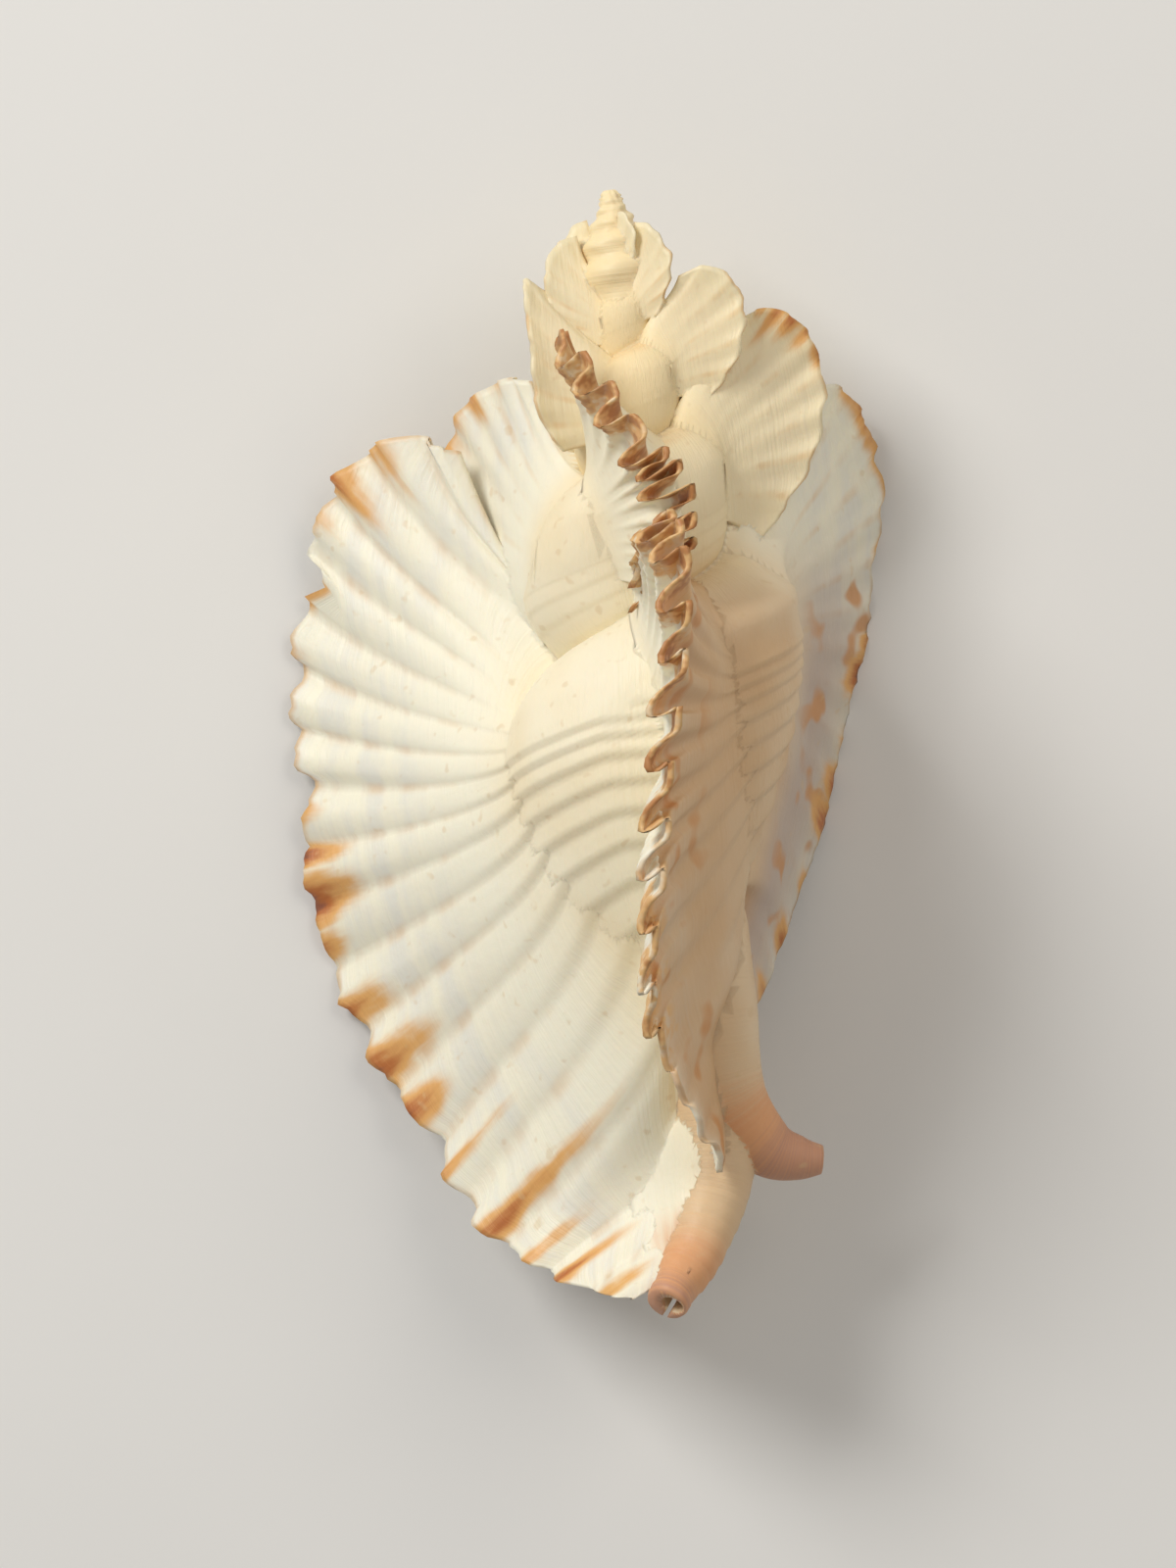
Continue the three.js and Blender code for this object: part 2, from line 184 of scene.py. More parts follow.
# How brown the standing wing's frill is at each distance down.
FRILL_BROWN = [
    (0, 1.0), (44, 1.0), (46.5, 0.35), (50, 0.4), (51.5, 0.95), (55, 0.9), (56.5, 0.4), (58, 0.8),
    (61, 0.7), (63, 0.15), (80, 0.1),
]

# How each wing is made. ribs, flute, flute_power, crenulation, ragged, groove, scales and
# rise shape its ribs and margin, frill its pleats, and notch a step in its margin. thick is
# at the root and thin at the margin. behind and ahead say how far its two faces spread along
# the whorl, which they don't do above free_above. width, twist and twist_from change its
# outline. steps, for each rib, and rows count its faces. painted_shade_fade and shaded_behind
# place its painted shade, and brown_from and streaks place its colours. With ribs_meet_cords,
# each cord runs on into a rib.
LIP = dict(
    margin=LIP_MARGIN, root=LIP_ROOT, ribs=19, steps=10, rows=44, thin=0.5, thick=2.2,
    behind=6.0, free_above=33, painted_shade_fade=(0.0, 0.3), ragged=0.95,
)
FULL = dict(
    margin=FULL_MARGIN, root=FULL_ROOT, ribs=17, steps=9, rows=30, thin=0.6, thick=2.6,
    behind=5.0, ahead=1.0, painted_shade_fade=(0.1, 0.45), ragged=0.5,
)
SPIRE = dict(
    margin=SPIRE_MARGIN, root=SPIRE_ROOT, ribs=8, steps=10, rows=22, thin=0.8, thick=3.2,
    behind=6.0, ahead=6.0, flute=0.3, painted_shade_fade=(0.0, 0.3), ragged=0.6,
)
TIP = dict(
    SPIRE, margin=TIP_MARGIN, ribs=5, steps=8, rows=10, thin=1.1, thick=4.0, behind=5.0,
    ahead=5.0, flute=0.4, ragged=0.8,
)
MID = dict(
    FULL, margin=MID_MARGIN, flute=1.45, frill=1.0, steps=14, rows=36, thin=0.5, scales=0.22,
    painted_shade_fade=(0.75, 1.3), brown_from=0.7, shaded_behind=True, rise=0.2,
)
BAND = dict(
    SPIRE, margin=BAND_MARGIN, flute=3.2, flute_power=3, frill=1.4, ribs=12, steps=14, rows=36,
    thin=0.6, behind=9.0, ahead=1.0, scales=0.5, brown_from=0.62, rise=0.6,
)
WINGS = [
    dict(
        LIP, turn=0, angle=0, flute=0.24, groove=0.26, ribs_meet_cords=True, notch=2.0,
        streaks=LIP_STREAKS,
    ),
    dict(MID, turn=-0.33, angle=89),
    dict(
        FULL, turn=-0.655, angle=-33, ahead=6.0, flute=0.42, twist=-0.65, twist_from=24,
        crenulation=0.55, groove=0.15, painted_shade_fade=(0.4, 1.4), streaks=RIGHT_STREAKS,
    ),
    dict(SPIRE, margin=FLAP_MARGIN, turn=-0.96, angle=214, behind=9.0, streaks=FLAP_STREAKS),
    dict(BAND, turn=-1.28, angle=118),
    dict(SPIRE, margin=LOBE_MARGIN, turn=-1.6, angle=-6, streaks=LOBE_STREAKS),
    dict(SPIRE, turn=-1.9, angle=238, ribs=6, rows=14, width=0.9),
    dict(SPIRE, margin=UPRIGHT_MARGIN, turn=-2.17, angle=150, ribs=6, rows=14),
    dict(SPIRE, turn=-2.52, angle=17, ribs=6, rows=14),
    dict(TIP, turn=-2.83, angle=266),
    dict(TIP, turn=-3.14, angle=156),
    dict(TIP, turn=-3.45, angle=44),
    dict(TIP, turn=-4.07, angle=178, ribs=3, rows=6),
    dict(TIP, turn=-4.38, angle=66, ribs=3, rows=6),
]
CRENULATION = 0.28
# How early a wing has turned from its root's angle to its margin's.
FLARE_POWER = 2.5
# Near its root a face spreads along the whorl, sunk a little into it, and narrows at the
# canal.
BLEND_POWER = 2.4
SINK = 0.15
HUG_FROM = (29, 34)
NARROW_FROM = 63
NARROW_TO = 70
NARROW_SHARE = 0.15
# The step in the lip wing's upper margin: where it is and how sharp its edge is.
NOTCH_BOTTOM = 26
NOTCH_EDGE = (22.5, 25.2)
# How the standing wing's pleats and their hooked edge fade on the way down.
PLEATS_EASE = (46, 56)
PLEATS_END = (58, 64)
# The scales ahead of a frill: how many rows, and from where they show.
SCALE_ROWS = 9
SCALES_FROM = (0.5, 0.7)
GROOVES_FROM = (0.1, 0.5)

# Tubes as (right, down, up, radius).
CANAL = [
    (0.6, 41, 0.0, 1.5), (0.6, 49, -0.7, 2.8), (0.2, 58, -0.4, 3.7), (0, 66.0, 0.3, 3.3),
    (-0.6, 71.2, 1.2, 2.7), (-2.4, 75.6, 3.4, 2.1), (-5.0, 79.2, 6.4, 1.35),
]
BORE = [
    (2.0, 52, -4.0, 1.4), (0.6, 60, -1.2, 1.1), (0, 66.0, 0.2, 0.9), (-0.5, 71.2, 1.2, 0.85),
    (-2.0, 75.6, 3.4, 0.85), (-5.4, 80.4, 7.7, 0.85),
]
UPPER_SPUR = [
    (0.2, 48, -0.5, 2.8), (0.2, 53, 0.5, 3.7), (0.3, 59, 1.2, 3.6), (0.9, 65.5, 1.0, 3.0),
    (3.6, 69.4, 0.3, 2.1), (5.6, 70.3, 0, 1.6), (7.2, 70.6, -0.2, 1.05),
]
LOWER_SPUR = [
    (0.2, 51, -0.8, 2.4), (0.2, 57, -1.6, 2.6), (-0.6, 59.6, -3.6, 1.7), (-1.6, 60.6, -6.0, 1.1),
]
# Where along each tube its rose colour starts, and over what share of it.
CANAL_ROSE = 0.68
SPUR_ROSE = 0.35
ROSE_SHARE = 0.35
# How much painted shade the tubes get, as on the shaded side.
TUBE_PAINTED_SHADE = 0.8
# The canal's growth rings: how high and how many, and its raised rim.
RING_HEIGHT = 0.12
RING_COUNT = 26
RINGS_FROM = (0.54, 0.87)
RIM_HEIGHT = 0.22
RIM_FROM = (0.955, 0.975)
WOBBLE_HEIGHT = 0.1
WOBBLE_FROM = (0.67, 1)
# The skin between the canal and the lip's wing, as (right, down, up): its two long sides.
WEB_AT_CANAL = [
    (1.6, 63, 2.3), (1.5, 67, 2.1), (0.9, 71, 2.4), (-0.8, 74.4, 3.6), (-2.5, 77.0, 4.9),
]
WEB_AT_WING = [
    (-5.5, 66, -0.1), (-6.6, 69.5, 0.6), (-6.6, 73, 1.7), (-6.0, 75.6, 3.0), (-5.2, 77.6, 4.7),
]
WEB_BULGE = 2.3
WEB_HALF_THICKNESS = 0.35
WEB_ROSE_FROM = (71.0, 75.0)
# The hollow is an oval carried back along the coil, and a rim stands out round its mouth.
HOLLOW = dict(out=7.2, down=46.6, half_width=3.3, half_height=8.6, turns=0.8, past=0.06)
OPENING_SIDES = 48
RIM_GROWN = 0.9
RIM_TURNS = (-0.03, 0.018)
RIM_PALENESS = 0.3
# The slit under the bore: where along the bore it starts, and how far it goes past its end.
SLIT_WIDTH = 0.35
SLIT_DEPTH = 6
SLIT_FROM = 0.02
SLIT_TO = 1.08
SLIT_OVERSHOOT = 20

# How often seams pass on what their neighbours know, and what counts as on the floor.
MENDING_ROUNDS = 6
FLOOR_TOLERANCE = 1e-5

# The photograph: its tilt, the coil's point in its middle, and its height, in mm.
PHOTO_TILT = 6.5
PHOTO_CENTRE = (-6.34, 42.04)
PHOTO_HEIGHT = 112.0
CAMERA_DISTANCE = 600.0
FILM_HEIGHT = 36

# Colours as a screen shows them, from 0 to 255.
CREAM = (246, 236, 208)
WARM_CREAM = (240, 224, 188)
OLD_CREAM = (242, 220, 172)
PEARL = (243, 238, 216)
COOL_PEARL = (230, 228, 216)
OLD_PEARL = (241, 223, 180)
GROOVE_ORANGE = (224, 178, 112)
# Painted shade: warm tan on the side in the standing wing's shadow, turning mauve further out on
# the older wings.
SHADED_TAN = (212, 174, 130)
SHADED_MAUVE = (190, 170, 156)
LINE_GREY = (206, 200, 192)
DOT_ORANGE = (206, 146, 90)
PALE_STAIN = (226, 172, 106)
BROWN_STAIN = (184, 112, 62)
DARK_STAIN = (142, 88, 66)
MARGIN_TAN = (218, 168, 108)
PALE_FRILL = (222, 178, 122)
BROWN_FRILL = (176, 118, 72)
CANAL_PINK = (222, 160, 112)
CANAL_PURPLE = (176, 132, 118)
INSIDE_WHITE = (240, 226, 208)
SPECK_TAN = (214, 184, 138)
FLOOR_GREY = (226, 225, 222)
FLOOR_WHITE = (230, 229, 226)
# How fine the patterns are, in cells a metre.
CLOUDS = 95
MOTTLES = 260
DOTS = 330
SPOTS = 700
SPECKS = 900
GRAINS = 1500
BUMP_HEIGHT = 0.00022

FLOOR_REACH = 1.5
LIGHTS_AIM = (0, 0, 0.012)
KEY_LIGHT = dict(at=(-0.38, 0.42, 0.5), size=0.3, power=3.8, tint=(1.0, 0.99, 0.97))
FILL_LIGHT = dict(at=(0.45, 0.3, 0.6), size=0.5, power=1.6, tint=(1.0, 0.92, 0.82))
STUDIO_COLOUR = (1.0, 0.985, 0.965, 1)
STUDIO_STRENGTH = 0.3

# What each point of the shell knows for its colours: how far out on a wing it is, the
# number of its rib, brown stain, brown frill, the rose of the canal, its age, how much
# painted warm shade it gets, how far along it grew, whether it is inside the opening, and
# whether all this is known, which it isn't on a seam until it is mended.
FIELDS = ("reach", "rib", "stain", "frill", "rose", "age", "painted_shade", "growth", "inside", "sure")


def lerp(a, b, t):
    return a + (b - a) * t


def clamp(x, low=0.0, high=1.0):
    return max(low, min(high, x))


def smooth(low, high, x):
    t = clamp((x - low) / (high - low))
    return t * t * (3 - 2 * t)


def ripple(x, y, seed):
    return noise.noise(Vector((x, y, seed)))


def from_table(table, x):
    """Reads a table of (x, value) with straight lines between its rows."""
    for (x0, y0), (x1, y1) in zip(table, table[1:]):
        if x <= x1:
            return lerp(y0, y1, clamp((x - x0) / (x1 - x0)))
    return table[-1][1]


def size_at(turn):
    return GROWTH_PER_TURN**turn


def coil_point(out, down, angle):
    a = math.radians(angle)
    return Vector((out * math.cos(a), -down, out * math.sin(a)))


def growth_direction(angle):
    a = math.radians(angle)
    return Vector((-math.sin(a), 0, math.cos(a)))


class Line:
    """A smooth curve through points, read at 0 to 1 with equal shares for its spans."""

    def __init__(self, points):
        points = [Vector(p) for p in points]
        self.points = [points[0] * 2 - points[1], *points, points[-1] * 2 - points[-2]]
        self.spans = len(points) - 1

    def at(self, t):
        place = clamp(t) * self.spans
        i = min(int(place), self.spans - 1)
        p0, p1, p2, p3 = self.points[i : i + 4]
        d0, d1, d2 = (math.sqrt((b - a).length) or 1.0 for a, b in ((p0, p1), (p1, p2), (p2, p3)))
        m1 = ((p1 - p0) / d0 - (p2 - p0) / (d0 + d1) + (p2 - p1) / d1) * d1
        m2 = ((p2 - p1) / d1 - (p3 - p1) / (d1 + d2) + (p3 - p2) / d2) * d1
        w = place - i
        bend = 3 * (p2 - p1) - 2 * m1 - m2
        return p1 + m1 * w + bend * w * w + (2 * (p1 - p2) + m1 + m2) * w**3

    def along(self, t):
        return (self.at(min(t + 0.01, 1)) - self.at(max(t - 0.01, 0))).normalized()


POSE = (
    Matrix.Translation(-Vector(REST_CENTRE))
    @ Matrix.Rotation(math.radians(REST_PITCH), 4, "X")
    @ Matrix.Rotation(math.radians(REST_ROLL), 4, "Y")
)


def start_mesh():
    bm = bmesh.new()
    for field in FIELDS:
        bm.verts.layers.float.new(field)
    return bm


def shape_by(bm, place):
    """Moves each vertex by a rule on its old place, which also gives what it knows."""
    for v in bm.verts:
        co, known = place(v.co.copy())
        v.co = co
        known["sure"] = 1
        for field, amount in known.items():
            v[bm.verts.layers.float[field]] = amount


def closed_tube(sides, steps, place):
    """A tube with closed ends, shaped by place(side, along, is_middle)."""
    bm = start_mesh()
    bmesh.ops.create_uvsphere(bm, u_segments=sides, v_segments=steps + 2, radius=1)

    def to_place(co):
        ring = round(math.acos(clamp(co.z, -1, 1)) / math.pi * (steps + 2))
        side = round(math.atan2(co.y, co.x) / (2 * math.pi) * sides) % sides
        return place(side, clamp((ring - 1) / steps), ring in (0, steps + 2))

    shape_by(bm, to_place)
    return bm


def closed_sheet(steps, rows, place):
    """A sheet of two faces, shaped by place(along, reach, face): -1 is behind, 1 ahead."""
    bm = start_mesh()
    bmesh.ops.create_grid(bm, x_segments=steps, y_segments=rows, size=1)
    made = bmesh.ops.extrude_face_region(bm, geom=bm.faces[:], use_keep_orig=True)
    ahead = [v for v in made["geom"] if isinstance(v, bmesh.types.BMVert)]
    bmesh.ops.translate(bm, verts=ahead, vec=(0, 0, 1))
    shape_by(bm, lambda co: place((co.x + 1) / 2, (co.y + 1) / 2, 1 if co.z > 0.5 else -1))
    return bm


def knob_relief(turn, down):
    """The knobs halfway between the wings, the shoulder's ridge and the old whorl's swelling."""
    since_varix = (-360 * turn) % VARIX_SPACING
    away = (since_varix - VARIX_SPACING / 2) / KNOB_HALF_ANGLE
    below = (down - KNOB_BELOW_APEX) / KNOB_REACH
    knob = KNOB_HEIGHT * math.exp(-away * away - below * below)
    middle, half_height, height = SHOULDER_RIDGE
    ridge = height * math.exp(-(((down - middle) / half_height) ** 2))
    knob += ridge * smooth(*RIDGE_ENDS, turn) * smooth(*RIDGE_STARTS, turn)
    at, half_turn, middle, half_height, height = SWELLING
    aside = (turn - at) / half_turn
    below = (down - middle) / half_height
    return knob + height * math.exp(-(aside**2) - below**2)


# How far down the lip's root is along its length, without its last turn round the canal.
ROOT_SAMPLES = 200
ROOT_SHARE = 0.95
ROOT_DOWNS = [
    Line(LIP_ROOT).at(i / ROOT_SAMPLES).y for i in range(round(ROOT_SHARE * ROOT_SAMPLES))
]


def rib_number(down):
    """Which rib of the lip a cord at this depth runs into, as a number with a fraction."""
    for i, (above, below) in enumerate(zip(ROOT_DOWNS, ROOT_DOWNS[1:])):
        if down <= below:
            return LIP["ribs"] * (i + clamp((down - above) / (below - above))) / ROOT_SAMPLES
    return LIP["ribs"] * (len(ROOT_DOWNS) - 1) / ROOT_SAMPLES


# One for every tenth of a millimetre down.
RIB_NUMBERS = [rib_number(i / 10) for i in range(1001)]


def cord_number(turn, down):
    """Which cord is at this place, numbered as the lip's ribs are."""
    tenths = 10 * down * size_at(clamp(turn, LEVEL_TO, LEVEL_FROM) - LEVEL_FROM)
    i = min(int(tenths), len(RIB_NUMBERS) - 2)
    return lerp(RIB_NUMBERS[i], RIB_NUMBERS[i + 1], clamp(tenths - i))


def cord_relief(down, number):
    """Cords like clapboards: each swells towards its lower edge and drops to the next."""
    strength = smooth(*CORDS_START, down) * (1 - smooth(*CORDS_END, down))
    part = number % 1
    board = part / CORD_RISE if part < CORD_RISE else 1 - (part - CORD_RISE) / (1 - CORD_RISE)
    return CORD_RELIEF * strength * (board - 0.45)


def shade_of(angle, down):
    """Painted warm shade on the side between the standing wing and the right wing, in its shadow.
    """
    turned = (angle + 180) % 360 - 180
    along = smooth(*SHADE_ENDS, turned) * smooth(*SHADE_STARTS, turned)
    return along * smooth(*SHADE_TOP, down)


def section_points(curves, rows):
    """Points of a closed section: smooth curves joined end to end."""
    points = []
    for curve, count in zip(curves, rows):
        line = Line([(out, down, 0) for out, down in curve])
        points += [line.at(i / count) for i in range(count)]
    return points


LAST_SECTION = section_points(
    [
        SHOULDER,
        FLANK,
        [FLANK[-1], *CANAL_SIDE],
        [CANAL_SIDE[0], INNER_WALL[0]],
        INNER_WALL,
        [INNER_WALL[-1], SHOULDER[0]],
    ],
    [14, 84, 6, 2, 5, 4],
)
OLD_SECTION = section_points(
    [
        SHOULDER,
        SPIRE_FLANK,
        [SPIRE_FLANK[-1], SPIRE_WALL[0]],
        SPIRE_WALL,
        [SPIRE_WALL[-1], SHOULDER[0]],
    ],
    [12, 48, 4, 4, 4],
)


def profile_of(flank):
    """How far out a whorl's skin is at each distance down."""
    curves = [Line([(out, down, 0) for out, down in curve]) for curve in (SHOULDER, flank)]
    return [(p.y, p.x) for curve in curves for p in (curve.at(i / 24) for i in range(25))]


LAST_PROFILE = profile_of(FLANK)
OLD_PROFILE = profile_of(SPIRE_FLANK)


def whorl(section, from_turn, to_turn, steps, relief):
    """A stretch of the coil, with its cords as strong as the relief says."""

    def place(side, along, is_middle):
        turn = lerp(from_turn, to_turn, along)
        size = size_at(turn)
        out, down = SECTION_MIDDLE if is_middle else section[side][:2]
        number = cord_number(turn, down)
        if not is_middle and out > 3:
            uneven = UNEVENNESS * ripple(turn * 14, down * 0.12, 3.1)
            out += relief * cord_relief(down, number) + uneven
            out += knob_relief(turn, down) if out > 6 else 0
        angle = LIP_ANGLE + 360 * turn
        known = dict(age=clamp(-turn / 2), growth=GROWTH_LENGTH * turn, rib=number)
        # Painted shade on the side between the standing wing and the right wing.
        known["painted_shade"] = shade_of(angle, down * size)
        known["stain"] = 0.16 * (1 - smooth(34.5, 38, down)) * (turn < -1)
        return coil_point(out * size, down * size, angle), known

    return closed_tube(len(section), steps, place)


def tube(stations, sides, steps, relief=None, rose_from=None):
    """A round tube through its stations, with a relief and the place where it turns rose."""
    line = Line([(x, -down, z) for x, down, z, _ in stations])

    def place(side, along, is_middle):
        spot = along * (len(stations) - 1)
        i = min(int(spot), len(stations) - 2)
        a = 2 * math.pi * side / sides
        radius = lerp(stations[i][3], stations[i + 1][3], spot - i)
        radius += relief(along, a) if relief else 0
        radius *= not is_middle
        axis = line.along(along)
        across = Vector((0, 0, 1)).cross(axis).normalized()
        other = axis.cross(across)
        # The tubes get painted shade.
        known = dict(growth=along * 30, rose=0, painted_shade=TUBE_PAINTED_SHADE)
        if rose_from:
            known["rose"] = smooth(rose_from, rose_from + ROSE_SHARE, along)
        return line.at(along) + across * radius * math.cos(a) + other * radius * math.sin(a), known

    return closed_tube(sides, steps, place)


def web():
    """The thin skin that joins the canal to the lower end of the lip's wing."""
    at_canal = Line([(x, -down, z) for x, down, z in WEB_AT_CANAL])
    at_wing = Line([(x, -down, z) for x, down, z in WEB_AT_WING])

    def place(along, reach, face):
        spot = at_canal.at(along).lerp(at_wing.at(along), reach)
        bulge = WEB_BULGE * math.sin(math.pi * reach) * (1 - reach) * smooth(-0.1, 0.2, along)
        spot.z += bulge + face * WEB_HALF_THICKNESS
        rose = smooth(*WEB_ROSE_FROM, -spot.y) * (1 - reach) ** 0.7
        return spot, dict(reach=0.3 * reach, growth=-3 * reach, rose=rose, rib=16 + 3 * along)

    return closed_sheet(30, 24, place)


def growth_rings(along, a):
    """Rings round the canal, closer and sharper towards its mouth, which is a raised rim."""
    rings = RING_HEIGHT * smooth(*RINGS_FROM, along) * ((along * RING_COUNT) % 1 - 0.5)
    wobble = WOBBLE_HEIGHT * math.sin(a * 2 + along * 30) * smooth(*WOBBLE_FROM, along)
    return rings + wobble + RIM_HEIGHT * smooth(*RIM_FROM, along)


def stain_at(streaks, index, inwards, seed):
    """How brown a wing is at a place on its margin and a distance in from it."""
    most = 0
    for place, length, half_width, strength in streaks:
        wandering = 1.25 + 0.5 * ripple(inwards * 0.8, place, seed)
        side = (index - place) / (half_width * wandering)
        fade = max(0, 1 - inwards / (STREAK_LENGTH * length)) ** 1.3
        most = max(most, strength * math.exp(-side * side) * fade)
    return most


def wing(spec):
    """A wing: a fluted sheet that grows smoothly out of the whorl and thins to its margin."""
    outer = Line(spec["margin"])
    inner = Line(spec["root"])
    turn = spec["turn"]
    size = size_at(turn)
    ribs = spec["ribs"]
    frill = spec.get("frill", 0)
    profile = LAST_PROFILE if turn > -1 else OLD_PROFILE
    crenulation = spec.get("crenulation", CRENULATION)
    meets_cords = spec.get("ribs_meet_cords", False)

    def place(along, reach, face):
        m = outer.at(along)
        r = inner.at(along)
        m.x = lerp(r.x, m.x, spec.get("width", 1))
        phase = ribs * along
        drop = m.y * size
        strength = spec["flute"]
        if frill:
            phase += 0.3 * ripple(phase * 0.9, 2.5, 1.5)
            strength *= 1 + 0.8 * ripple(phase * 0.7, 8.5, 3.5)
            strength *= 1 - 0.45 * smooth(*PLEATS_EASE, drop)
            strength *= 1 - 0.6 * smooth(*PLEATS_END, drop)
        strength *= lerp(0.2, 1, smooth(0, spec.get("rise", 0.1), along))
        wave = math.cos(2 * math.pi * phase)
        if frill:
            small_pleats = 0.22 * math.cos(4 * math.pi * phase)
            wave = (wave + small_pleats + 0.2 * ripple(phase * 3.7, reach * 3, 6.5)) * 0.9
        ragged = ripple(phase * 1.3, turn * 9, 0.5) + 0.6 * ripple(phase * 5.1, turn * 9, 7.5)
        out = lerp(r.x, m.x, reach) + (spec["ragged"] * ragged - crenulation * wave) * reach**4
        down = lerp(r.y, m.y, reach)
        around = lerp(r.z, m.z, 1 - (1 - reach) ** FLARE_POWER) + spec["angle"]
        around += reach * spec.get("twist", 0) * max(0, drop - spec.get("twist_from", 0))
        if "notch" in spec and m.y < NOTCH_BOTTOM and along < 0.5:
            out -= spec["notch"] * smooth(*NOTCH_EDGE, m.y) * smooth(0.75, 1, reach)
        if frill:
            hook = frill * smooth(0, 0.12, along) * (1 - 0.75 * smooth(*PLEATS_END, drop))
            hook *= reach**3
            down += hook * (0.9 * wave + 0.35 * math.sin(4 * math.pi * phase))
        half = lerp(spec["thick"], spec["thin"], math.sqrt(reach)) / 2
        fluting = strength * wave * reach ** spec.get("flute_power", 2)

        # Near its root the face spreads along the whorl and lies on it.
        share = (1 - reach) ** BLEND_POWER
        spread = spec["behind"] if face < 0 else spec.get("ahead", 0)
        eased = 1
        if "free_above" in spec:
            eased = smooth(spec["free_above"], spec["free_above"] + 10, r.y)
        narrow = smooth(NARROW_FROM, NARROW_TO, r.y)
        if spread > 2:
            half *= 1 - share * eased
        offset = face * half + fluting
        if spread:
            length = spread * eased * share * lerp(1, NARROW_SHARE, narrow)
            shift = face * math.degrees(length / max(r.x, 4))
            back = (r.z + spec["angle"] - LIP_ANGLE - 360 * turn + 180) % 360 - 180
            turns_on = (back + shift) / 360
            scale = GROWTH_PER_TURN**turns_on
            skin = from_table(profile, r.y) + knob_relief(turn + turns_on, r.y)
            if turn > -0.9 and not meets_cords:
                skin += cord_relief(r.y, cord_number(turn + turns_on, r.y))
            hug = smooth(*HUG_FROM, r.y) * (1 - narrow)
            out += (scale * skin - SINK - r.x) * share * hug
            out -= (m.x - r.x) * reach * (1 - reach) ** 3 * hug
            down *= lerp(1, scale, (1 - reach) ** 2 * (1 - narrow))
            around += shift
        if face < 0:
            groove = (1 - abs(math.sin(math.pi * phase))) ** 2
            offset += spec.get("groove", 0) * groove * smooth(*GROOVES_FROM, reach)
            if meets_cords:
                out += cord_relief(r.y, phase) * (1 - smooth(*GROOVES_FROM, reach))
        elif "scales" in spec and reach < 1:
            step = (SCALE_ROWS * reach + 0.25 * wave) % 1 - 0.5
            offset += spec["scales"] * step * smooth(*SCALES_FROM, reach)

        span = (m.x - r.x) * size
        known = dict(reach=reach, rib=phase, age=clamp(-turn / 2), growth=-reach * span)
        index = along * (len(spec["margin"]) - 1)
        known["stain"] = stain_at(spec.get("streaks", []), index, (1 - reach) * span, turn)
        if frill:
            uneven = reach + 0.1 * ripple(phase * 3, reach * 6, 4)
            edge = smooth(spec["brown_from"], spec["brown_from"] + 0.25, uneven)
            known["frill"] = edge * from_table(FRILL_BROWN, drop)
        # Painted shade: the side between the standing wing and the right wing, or the standing
        # wing's back face, less towards the margin.
        shaded = face < 0 if spec.get("shaded_behind") else shade_of(around, down * size)
        known["painted_shade"] = shaded * (1 - smooth(*spec["painted_shade_fade"], reach))
        spot = coil_point(out * size, down * size, around)
        return spot + growth_direction(around) * offset * size, known

    return closed_sheet(ribs * spec["steps"], spec["rows"], place)


def core():
    """The pillar inside the coil, which shows as the blunt, knobbly tip."""
    line = Line([(out, down, 0) for out, down in CORE])

    def place(side, along, is_middle):
        spot = line.at(along)
        a = 2 * math.pi * side / CORE_SIDES
        out = 0 if is_middle else spot.x
        if not is_middle and spot.y < TIP_LENGTH:
            turns = math.log(max(spot.y, 0.4) / KNOB_BELOW_APEX) / math.log(GROWTH_PER_TURN)
            winding = (turns - a / (2 * math.pi)) % 1
            out *= 1 + TIP_COILING * math.cos(2 * math.pi * (winding - TIP_COIL_START))
            lumps = Vector((math.cos(a) * 2.2, spot.y * 1.5, math.sin(a) * 2.2))
            out += TIP_ROUGHNESS * noise.noise(lumps)
        return coil_point(out, spot.y, math.degrees(a)), dict(age=1, growth=spot.y)

    return closed_tube(CORE_SIDES, CORE_STEPS, place)


def opening(grown, from_turn, to_turn, steps, inside):
    """A short or long stretch of the hollow behind the opening, grown by a wall."""

    def place(side, along, is_middle):
        turn = lerp(from_turn, to_turn, along)
        size = size_at(turn)
        a = 2 * math.pi * side / OPENING_SIDES
        wide = 0 if is_middle else HOLLOW["half_width"] + grown
        tall = 0 if is_middle else HOLLOW["half_height"] + grown
        out = HOLLOW["out"] - wide * math.cos(a)
        down = HOLLOW["down"] - tall * math.sin(a)
        known = dict(inside=inside, growth=GROWTH_LENGTH * turn)
        return coil_point(out * size, down * size, LIP_ANGLE + 360 * turn), known

    return closed_tube(OPENING_SIDES, steps, place)


def slit():
    """A thin blade under the bore, which cuts the canal open along its length."""
    line = Line([(x, -down, z) for x, down, z, _ in BORE])

    def place(along, reach, face):
        t = lerp(SLIT_FROM, SLIT_TO, along)
        axis = line.along(min(t, 1))
        across = Vector((0, 0, 1)).cross(axis).normalized()
        under = across.cross(axis)
        spot = line.at(min(t, 1)) + axis * max(0, t - 1) * SLIT_OVERSHOOT
        return spot + across * SLIT_WIDTH / 2 * face + under * reach * SLIT_DEPTH, dict(rose=0.5)

    return closed_sheet(40, 1, place)


def as_object(bm, name):
    """An object of this shape, with its faces outwards."""
    bmesh.ops.recalc_face_normals(bm, faces=bm.faces)
    if bm.calc_volume(signed=True) < 0:
        bmesh.ops.reverse_faces(bm, faces=bm.faces)
    mesh = bpy.data.meshes.new(name)
    bm.to_mesh(mesh)
    bm.free()
    made = bpy.data.objects.new(name, mesh)
    bpy.context.scene.collection.objects.link(made)
    return made


